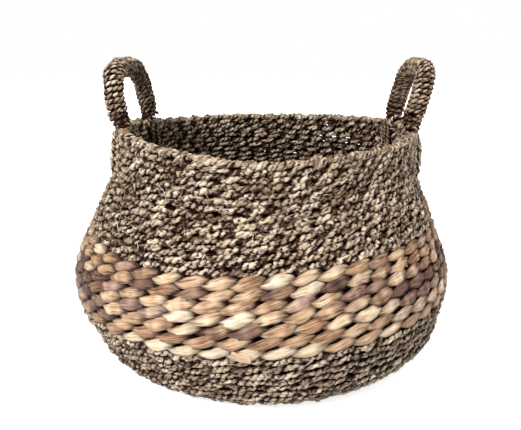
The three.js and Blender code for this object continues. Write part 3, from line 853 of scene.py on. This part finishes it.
# %% Where the handles stand
HANDLE_FULLNESS = 3.3
HANDLE_THICKNESS = 0.017
COLUMN_ANGLE = FULL_TURN / STAKE_COLUMNS
RIM_RADIUS = outline(WALL_TOP)[0] - WALL_THICKNESS / 2
BOW_START, BOW_REACH, BOW_FADE = 0.2, 0.9, 0.55
LOOP_STEPS, ROPE_STEPS = 4000, 1200
FOOT_SUNK = 0.0005


def handle(name, lean, **known):
    """A handle with its pivot and its own directions: along the chord, outwards and up."""
    joint = next(j for j in frame["joints"] if j["name"] == f"{name}_handle_bend")
    along = np.array(joint["axis"])
    flat_out = np.cross(along, UP)
    return SimpleNamespace(
        name=name, pivot=np.array(joint["pos_m"]), along=along, flat_out=flat_out,
        up=cos(lean) * UP + sin(lean) * flat_out,
        out=cos(lean) * flat_out - sin(lean) * UP,
        half=RIM_RADIUS * sin((known["rear"] - known["front"]) * COLUMN_ANGLE / 2), **known,
    )


HANDLES = (
    handle("left", radians(11.5), side=-1, front=-2, rear=3, rise=0.038, bow=0.0040, twist=0, tone=0.31),
    handle("right", radians(13.5), side=1, front=-2, rear=2, rise=0.0415, bow=0, twist=0.0016, tone=0.3),
)


def leg_of(h, end):
    """A leg with its directions at the rim, and its foot, which may stand outside the joint's line."""
    column = (h.front if end == "front" else h.rear) * COLUMN_ANGLE
    angle = column if h.side > 0 else pi - column
    radial = np.array([cos(angle), sin(angle), 0])
    towards = 1 if (end == "front") == (h.side > 0) else -1
    on_line = h.pivot - towards * h.half * h.along
    rim = by_hand((RIM_RADIUS * radial + WALL_TOP * UP)[None])[0]
    return SimpleNamespace(
        name=f"{h.name}_{end}", handle=h, radial=radial, sideways=np.cross(UP, radial), on_line=on_line,
        foot=on_line + (h.bow if end == "front" else 0) * h.flat_out, low=rim[2] - h.pivot[2] - FOOT_SUNK,
    )


LEGS = [leg_of(h, end) for h in HANDLES for end in ("front", "rear")]


def sampled(points, places, s):
    return np.stack([np.interp(places, s, points[:, i]) for i in range(3)], 1)


def handle_loop(h, steps=ROPE_STEPS):
    """Middle line of the bent rope and its direction, at even steps."""
    t = np.linspace(0, pi, LOOP_STEPS)
    power = 2 / HANDLE_FULLNESS
    x = -fuller(np.cos(t), power) * h.half
    z = np.abs(np.sin(t)) ** power * h.rise
    to_front = -h.side * x / h.half
    share = np.clip((to_front + BOW_START) / BOW_REACH, 0, 1)
    bow = h.bow * share * share * (3 - 2 * share) * (1 - BOW_FADE * z / h.rise)
    bow = bow + h.twist * -h.side * x / h.half * z / h.rise
    points = h.pivot + x[:, None] * h.along + z[:, None] * h.up + bow[:, None] * h.flat_out
    s = way_along(points)
    even = np.linspace(0, s[-1], steps)
    line = sampled(points, even, s)
    return line, unit(np.gradient(line, axis=0)), even


for h in HANDLES:
    print(h.name, "handle rope is", handle_loop(h)[2][-1].round(4), "m long")

# %% [markdown]
# The rope has three plies and the cord round it has two. The cord is a helix about the middle
# line of the rope. Its plies cross the face of the handle as slanted grains, turn after turn.
# No two turns are wound with the same pull, so each has its own tone and stands out a little
# more or less than the next.

# %% Rope and wound cord of each handle
WRAP_TURNS = 31
WRAP_START = 0.0046
WRAP_CORD = 0.0041
WRAP_RADIUS = (HANDLE_THICKNESS - WRAP_CORD) / 2
WRAP_PLY, WRAP_PLY_OFFSET, WRAP_PLY_PITCH = 0.0028, 0.00076, 0.0090
WRAP_SPREAD, WRAP_HUE, WRAP_UNEVEN = 0.06, 0.4, 0.8
WRAP_OPEN = 0.0034
# Painted shade on the rear half of each handle, and how sharply it sets in.
REAR_SHADE, SHADE_EDGE = 0.08, 6
ROPE_PLY, ROPE_PLY_OFFSET = 0.0052, 0.0029
ROPE_RINGS, ROPE_TWISTS, ROPE_OPEN = 60, 5, 0.008
ROPE = {"tone": 0.3, "hue": 0.3, "uneven": 0.3, "plies": 3}


def ended(runs, rings=4):
    """Both ends of each strand close in a round tip."""
    tip = np.sqrt(1 - (1 - np.arange(rings) / rings) ** 2)
    for run in runs:
        run["radius"][:rings] *= tip
        run["radius"][-rings:] *= tip[::-1]
    return runs


def wound_cord(h, rng):
    line, tangent, s = handle_loop(h)
    length = s[-1] - 2 * WRAP_START
    twists = round(hypot(FULL_TURN * WRAP_RADIUS * WRAP_TURNS, length) / WRAP_PLY_PITCH)
    turns = WRAP_TURNS * np.linspace(0, 1, twists * RINGS_PER_TWIST)
    round_trip = turns * FULL_TURN / WRAP_TURNS
    pull = wander(round_trip, rng, JITTER, (9, 15, 22, 35))
    place = WRAP_START + length * turns / WRAP_TURNS + pull * np.sin(pi * turns / WRAP_TURNS)
    turn = FULL_TURN * turns
    in_plane = np.cross(h.out, unit(sampled(tangent, place, s)))
    normal = turned(turn, in_plane, h.out)
    reach = WRAP_RADIUS + wander(round_trip, rng, JITTER, (13, 24, 37, 61))
    points = sampled(line, place, s) + reach[:, None] * normal
    tone = h.tone + per_step(turns, rng, -WRAP_SPREAD, WRAP_SPREAD)
    # Painted shade: the rear half of each handle is made darker.
    tone = tone - REAR_SHADE * np.tanh(h.side * (turns / WRAP_TURNS - 0.5) * SHADE_EDGE)
    return ended(plied(points, normal, WRAP_RADIUS - ROPE_PLY, twists, WRAP_PLY_OFFSET, rng, tone,
                       WRAP_HUE, uneven=WRAP_UNEVEN))


for h in HANDLES:
    rng = default_rng(81 + len(h.name))
    body = f"{h.name}_handle"
    rope = ended(plied(handle_loop(h, ROPE_RINGS)[0], h.out, 0, ROPE_TWISTS, ROPE_PLY_OFFSET, rng, **ROPE))
    strand_piece(f"{body}_rope", rope, circle(ROPE_PLY, 8), SEAGRASS,
                 half=ROPE_OPEN, body=body, replaced=(f"{body}_core",), twist="MINIMUM")
    strand_piece(f"{body}_cord", wound_cord(h, rng), circle(WRAP_PLY, PLY_CORNERS), SEAGRASS,
                 half=WRAP_OPEN, body=body, replaced=(f"{body}_wrap",),
                 twist="MINIMUM", shape=crumpled)

# %% [markdown]
# Each foot runs on down to the rim inside a few more turns of the cord. This stretch crosses
# the joint: above the pivot it leans with the handle, and below it stands upright on the rim.

# %% Feet of the handles
FOOT_COVER, FOOT_ROPE_SUNK = 0.0025, 0.002
FOOT_HIGH = 0.0050
FOOT_PITCH, FOOT_STEP, FOOT_TAPER = 0.0037, 0.0011, 0.0026
FOOT_TONE, FOOT_TONES, FOOT_HUE, FOOT_UNEVEN = 0.26, (-0.08, 0.1), 0.3, 1.1
FOOT_ROPE_RINGS = 14


def foot_axis(leg, height):
    """Middle of the foot at a height over the pivot: leaning above it and upright below it."""
    lean = np.clip(height, 0, None)[:, None] * leg.handle.up + np.clip(height, None, 0)[:, None] * UP
    return leg.foot + lean + np.clip(height / leg.low, 0, 1)[:, None] * (leg.on_line - leg.foot)


def foot_cords(leg, rng):
    h, low = leg.handle, leg.low - FOOT_COVER
    all_turns = (FOOT_HIGH - low) / FOOT_PITCH
    turns = np.arange(0, all_turns, FOOT_STEP / (FULL_TURN * WRAP_RADIUS))
    radius = WRAP_RADIUS - FOOT_TAPER * (1 - turns / all_turns) ** 2
    turn = FULL_TURN * turns + rng.uniform(0, FULL_TURN)
    normal = turned(turn, h.out, h.along)
    points = foot_axis(leg, low + FOOT_PITCH * turns) + radius[:, None] * normal
    twists = round(way_along(points)[-1] / WRAP_PLY_PITCH)
    tone = FOOT_TONE + per_step(turns, rng, *FOOT_TONES)
    cord = plied(points, normal, radius - ROPE_PLY, twists, WRAP_PLY_OFFSET, rng, tone, FOOT_HUE,
                 uneven=FOOT_UNEVEN)
    points = foot_axis(leg, np.linspace(low - FOOT_ROPE_SUNK, FOOT_HIGH, FOOT_ROPE_RINGS))
    rope = plied(points, h.out, 0, 1, ROPE_PLY_OFFSET, rng, **ROPE)
    for run in rope:
        run["radius"] = run["radius"] * ROPE_PLY / WRAP_PLY
    return ended(cord + rope)


for leg in LEGS:
    rng = default_rng(130 + len(leg.name))
    piece = strand_piece(f"{leg.name}_foot", foot_cords(leg, rng), circle(WRAP_PLY), SEAGRASS,
                         half=WRAP_OPEN, twist="MINIMUM")
    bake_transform(piece)

# %% [markdown]
# Under each foot the rim is bound with three slanting turns of cord. Below the rim a short
# plaited ear lies on the outside of the wall, and inside four cord ends hang down. A plait is
# three equal paths a third of a period apart: each swings from side to side and crosses over
# and under the others.

# %% Bindings, ears and tails at the rim
LASHING_STEP = 0.0010
BINDING_PLY, BINDING_OFFSET, BINDING_PITCH = 0.0023, 0.0010, 0.0085
BINDING_HUE, BINDING_UNEVEN, BINDING_OPEN = 0.2, 0.9, 0.0046
BINDING_TURNS, BINDING_RINGS = 3, 132
BINDING_WIDTH, BINDING_HIGH, BINDING_LOW = 0.0150, 0.0022, -0.0085
BINDING_INSET, BINDING_SQUARE = 0.0010, 0.8
BINDING_TONE, BINDING_SPREAD = 0.5, 0.15
CORD_DEEP = 0.0030
EAR_TOP, EAR_BOTTOM, EAR_BULGE, EAR_SUNK = 0.1800, 0.1440, 0.0022, 0.0006
EAR_TUCK, EAR_TUCK_SHARE = 0.003, 0.12
EAR_DEEP, EAR_TONE, EAR_SPREAD = 0.0026, 0.52, 0.1
PLAIT_SWING, PLAIT_DEPTH, PLAIT_PERIOD = 0.0034, 0.0008, 0.0150
TAIL_COUNT, TAIL_START, TAIL_LENGTH, TAIL_THICKNESS = 4, 0.003, 0.030, 0.85
TAIL_GAP, TAIL_SPREAD, TAIL_DRIFT, TAIL_BEND, TAIL_CUT = 0.0026, 0.0022, 0.0008, 1.5, 10
TAIL_LEANS, TAIL_TONE, TAIL_TONES = (-0.006, 0.004), 0.3, (-0.1, 0.2)
TAIL_LIFT, TAIL_STEP, TAIL_TUCK, TAIL_TUCK_FROM = 0.0012, 0.0016, 0.004, 0.85
CUT_ENDS, CUT_WAY, CUT_INSET = ((-0.0010, 0.0102), (0.0022, 0.0040)), (-0.0070, -0.0030, -0.0060), 0.0030
CUT_TONE, CUT_THICKNESS, CUT_DEEP, CUT_RINGS = 0.95, 0.8, 0.004, 9


def cord_runs(points, normal, deep, rng, tone, thickness=1.0):
    """A two-ply cord along a path, as thick as the given share of the binding cord."""
    twists = max(1, round(way_along(points)[-1] / (BINDING_PITCH * thickness)))
    runs = plied(points, normal, deep, twists, BINDING_OFFSET * thickness, rng, tone, BINDING_HUE,
                 uneven=BINDING_UNEVEN)
    for run in runs:
        run["radius"] = run["radius"] * thickness
    return runs


def at_leg(leg, r, beside, z):
    return r[:, None] * leg.radial + beside[:, None] * leg.sideways + z[:, None] * UP


def binding(leg, rng):
    share = np.linspace(0, 1, BINDING_RINGS)
    turn = FULL_TURN * BINDING_TURNS * share
    beside = BINDING_WIDTH * (share - 0.5) + wander(turn / BINDING_TURNS, rng, JITTER)
    middle, half_height = (BINDING_HIGH + BINDING_LOW) / 2, (BINDING_HIGH - BINDING_LOW) / 2
    half_width = WALL_THICKNESS / 2 - BINDING_INSET
    r = RIM_RADIUS + half_width * fuller(np.cos(turn), BINDING_SQUARE)
    z = WALL_TOP + middle + half_height * np.sin(turn)
    points = by_hand(at_leg(leg, r, beside, z))
    normal = unit(turned(turn, leg.radial, UP))
    tone = BINDING_TONE + per_step(turn / FULL_TURN, rng, -BINDING_SPREAD, BINDING_SPREAD)
    return cord_runs(points, normal, CORD_DEEP, rng, tone)


def ear(leg, rng):
    z = np.arange(EAR_TOP, EAR_BOTTOM, -LASHING_STEP)
    share = (EAR_TOP - z) / (EAR_TOP - EAR_BOTTOM)
    outside, slope = outline(z)
    normal = unit(leg.radial - slope[:, None] * UP)
    tuck = np.clip(1 - share / EAR_TUCK_SHARE, 0, 1) + np.clip(1 - (1 - share) / EAR_TUCK_SHARE, 0, 1)
    runs = []
    for cord in range(3):
        wind = FULL_TURN * ((EAR_TOP - z) / PLAIT_PERIOD + cord / 3)
        lift = EAR_BULGE * np.sin(pi * share) + PLAIT_DEPTH * np.sin(2 * wind)
        lift = lift - EAR_TUCK * tuck - EAR_SUNK
        points = at_leg(leg, outside, PLAIT_SWING * np.sin(wind), z) + lift[:, None] * normal
        runs += cord_runs(by_hand(points), normal, EAR_DEEP + lift, rng,
                          EAR_TONE + rng.uniform(-EAR_SPREAD, EAR_SPREAD))
    return runs


def tails(leg, rng):
    z = np.arange(WALL_TOP - TAIL_START, WALL_TOP - TAIL_LENGTH, -LASHING_STEP)
    outside, slope = outline(z)
    inside = outside - WALL_THICKNESS * np.sqrt(1 + slope ** 2)
    share = (WALL_TOP - z) / TAIL_LENGTH
    tuck = TAIL_TUCK * np.clip((share - TAIL_TUCK_FROM) / (1 - TAIL_TUCK_FROM), 0, 1)
    runs = []
    for cord in range(TAIL_COUNT):
        lean = (cord - (TAIL_COUNT - 1) / 2) * (TAIL_GAP + TAIL_SPREAD * share)
        lean = lean + rng.uniform(*TAIL_LEANS) * share ** TAIL_BEND + wander(3 * share, rng, TAIL_DRIFT)
        lift = TAIL_LIFT + TAIL_STEP * (cord % 2) - tuck
        points = at_leg(leg, inside - lift, lean, z)[: len(z) - rng.integers(0, TAIL_CUT)]
        runs += cord_runs(by_hand(points), -leg.radial, CORD_DEEP, rng,
                          TAIL_TONE + rng.uniform(*TAIL_TONES), TAIL_THICKNESS)
    return runs


def cut_ends(leg, rng):
    """Two pale cut ends of cord that stick out on the inner side of a leg."""
    runs = []
    for beside, height in CUT_ENDS:
        start = (RIM_RADIUS - CUT_INSET) * leg.radial + beside * leg.sideways + (WALL_TOP + height) * UP
        finish = start + CUT_WAY[0] * leg.radial + CUT_WAY[1] * leg.sideways + CUT_WAY[2] * UP
        points = by_hand(start + np.linspace(0, 1, CUT_RINGS)[:, None] * (finish - start))
        runs += cord_runs(points, UP, CUT_DEEP, rng, CUT_TONE, CUT_THICKNESS)
    return runs


for leg in LEGS:
    rng = default_rng(96 + len(leg.name))
    runs = binding(leg, rng) + ear(leg, rng) + tails(leg, rng)
    if leg.name == "left_rear":
        runs += cut_ends(leg, rng)
    strand_piece(f"{leg.name}_binding", ended(runs), circle(BINDING_PLY), SEAGRASS,
                 half=BINDING_OPEN, replaced=(f"{leg.name}_lashing",), twist="MINIMUM")

# %% [markdown]
# ## Floor, light and camera
# The picture has a white ground with only a breath of shadow. The floor mixes a plain white
# surface, which takes the shadow, with a glow that only the camera sees.

# %% Floor
GLOW_REACH = 0.45
GLOW_SHARES = ((0.27, 0), (0.31, 0.35), (0.44, 0.35), (1, 1))
GLOW, FLOOR_GREY = 2.4, 0.8
FLOOR_RADIUS, FLOOR_CORNERS, FLOOR_DROP = 4, 64, 0.0005


def grey(value):
    return (value, value, value, 1)


material = bpy.data.materials.new("white ground")
material.use_nodes = True
tree = material.node_tree
tree.nodes.clear()
reach = add_node(tree, "VectorMath", {0: tree.nodes.new("ShaderNodeTexCoord").outputs["Object"]})
reach.operation = "LENGTH"
scaled = math_node(tree, "DIVIDE", reach.outputs["Value"], GLOW_REACH)
share = ramp(tree, scaled, [(place, grey(glowing)) for place, glowing in GLOW_SHARES])
seen = tree.nodes.new("ShaderNodeLightPath").outputs["Is Camera Ray"]
surface = add_node(tree, "BsdfDiffuse", {"Color": grey(FLOOR_GREY)}).outputs["BSDF"]
glow = add_node(tree, "Emission", {"Strength": GLOW}).outputs["Emission"]
mix = add_node(tree, "MixShader", {"Fac": math_node(tree, "MULTIPLY", seen, share), 1: surface, 2: glow})
add_node(tree, "OutputMaterial", {"Surface": mix.outputs["Shader"]})
mesh = bpy.data.meshes.new("floor")
shape = bmesh.new()
bmesh.ops.create_circle(shape, cap_ends=True, segments=FLOOR_CORNERS, radius=FLOOR_RADIUS)
shape.to_mesh(mesh)
shape.free()
mesh.materials.append(material)
floor = placed("floor", mesh)
floor.location.z = -FLOOR_DROP
print("floor of radius", FLOOR_RADIUS, "m")

# %% Lights and world
LIGHTS_AIM = (0, 0, 0.1)
WORLD_STRENGTH = 0.28


def area_light(name, place, size, power):
    data = bpy.data.lights.new(name, "AREA")
    data.shape = "DISK"
    data.size = size
    data.energy = power
    lamp = placed(name, data)
    lamp.location = place
    lamp.rotation_euler = (Vector(LIGHTS_AIM) - Vector(place)).to_track_quat("-Z", "Y").to_euler()


def white_world():
    world = bpy.data.worlds.new("studio")
    bpy.context.scene.world = world
    world.use_nodes = True
    tree = world.node_tree
    light = set_inputs(tree, tree.nodes["Background"], {"Color": grey(1), "Strength": WORLD_STRENGTH})
    backdrop = add_node(tree, "Background", {"Color": grey(1), "Strength": 1})
    seen = tree.nodes.new("ShaderNodeLightPath").outputs["Is Camera Ray"]
    mix = add_node(tree, "MixShader", {"Fac": seen, 1: light.outputs[0], 2: backdrop.outputs[0]})
    set_inputs(tree, tree.nodes["World Output"], {"Surface": mix.outputs["Shader"]})


area_light("key", place=(-0.75, -1.1, 1.25), size=0.25, power=40)
area_light("fill", place=(0.8, -0.3, 1.3), size=1.0, power=13)
white_world()
bpy.context.scene.view_settings.view_transform = "Standard"
print("lights", [lamp.name for lamp in bpy.data.lights])

# %% Camera
PICTURE_WIDTH = 521
FOCAL_PIXELS = 560
SENSOR = 36
CAMERA_PLACE = (-0.0012, -0.4870, 0.2522)
CAMERA_DOWN = radians(17.26)
CAMERA_ROLL = radians(0.8)

lens = bpy.data.cameras.new("camera")
lens.sensor_width = SENSOR
lens.lens = FOCAL_PIXELS * SENSOR / PICTURE_WIDTH
camera = placed("camera", lens)
camera.location = CAMERA_PLACE
camera.rotation_mode = "ZYX"
camera.rotation_euler = (pi / 2 - CAMERA_DOWN, 0, CAMERA_ROLL)
bpy.context.scene.camera = camera
print("lens", round(lens.lens, 2), "mm")
